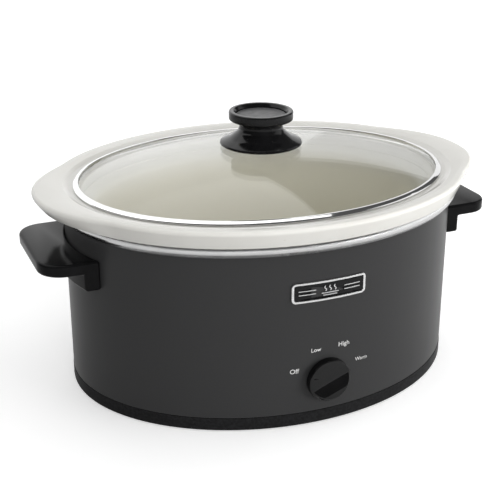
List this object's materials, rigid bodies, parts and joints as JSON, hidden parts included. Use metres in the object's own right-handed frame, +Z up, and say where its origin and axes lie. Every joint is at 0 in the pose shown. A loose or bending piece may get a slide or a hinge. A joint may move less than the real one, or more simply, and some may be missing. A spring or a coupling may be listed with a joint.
{
  "type": "slow cooker",
  "caption": "Oval slow cooker with a lift-out stoneware crock, domed glass lid with knob, heated metal housing, side handles and a turning heat dial.",
  "frame": {"origin": "on the table, under the middle of the cooker's footprint", "axes": "+Z up, -Y to the front with the dial and badge, +X to the right handle seen from the front"},
  "size_m": [0.422, 0.305, 0.2334],
  "materials": {
    "charcoal_paint": "gloss",
    "black_base": "satin",
    "black_gloss": "gloss",
    "black_satin": "satin",
    "stoneware_glaze": "gloss",
    "lid_glass": "gloss",
    "polished_steel": "polished",
    "grey_inset": "satin",
    "aluminised_steel": "satin",
    "zinc_steel": "satin",
    "heater_foil": "satin",
    "badge_frame_metal": "polished",
    "badge_black": "gloss",
    "black_rubber": "matte",
    "switch_body": "matte",
    "terminal_ceramic": "matte",
    "cutout_case": "satin",
    "wire_grey": "matte",
    "wire_red": "matte",
    "wire_blue": "matte"
  },
  "bodies": {
    "heating_base": {"housing": "charcoal_paint", "base": "black_base", "foot_front_left": "black_rubber", "foot_front_right": "black_rubber", "foot_back_left": "black_rubber", "foot_back_right": "black_rubber", "heating_well": "aluminised_steel", "heater_band": "heater_foil", "heater_clamp_bolt": "zinc_steel", "heater_clamp_nut": "zinc_steel", "well_strap": "zinc_steel", "tie_bolt": "zinc_steel", "tie_nut": "zinc_steel", "left_handle": "black_satin", "left_handle_screw_front": "zinc_steel", "left_handle_screw_back": "zinc_steel", "right_handle": "black_satin", "right_handle_screw_front": "zinc_steel", "right_handle_screw_back": "zinc_steel", "badge_frame": "badge_frame_metal", "badge_inlay": "badge_black", "heat_switch": "switch_body", "switch_nut": "zinc_steel", "cord_gland": "black_rubber", "gland_clip": "zinc_steel", "terminal_block": "terminal_ceramic", "thermal_cutout": "cutout_case", "cutout_clip": "zinc_steel", "gland_wire": "wire_grey", "switch_wire": "wire_red", "heater_wire": "wire_blue"},
    "lid": {"lid_glass": "lid_glass", "lid_rim": "polished_steel", "lid_knob": "black_gloss", "lid_knob_cap": "grey_inset", "lid_knob_gasket": "black_rubber", "lid_screw_washer": "zinc_steel", "lid_knob_screw": "zinc_steel"},
    "crock_body": {"crock": "stoneware_glaze"},
    "dial": {"control_dial": "black_gloss", "selector_shaft": "zinc_steel"}
  },
  "joints": [
    {"name": "crock_lift", "type": "slide", "parent": "heating_base", "child": "crock_body", "axis": [0, 0, 1], "range_m": [0, 0.16]},
    {"name": "lid_lift", "type": "slide", "parent": "crock_body", "child": "lid", "axis": [0, 0, 1], "range_m": [0, 0.12]},
    {"name": "dial_turn", "type": "hinge", "parent": "heating_base", "child": "dial", "pos_m": [0, -0.1445, 0.041], "axis": [0, 1, 0], "range_deg": [0, 150]}
  ]
}
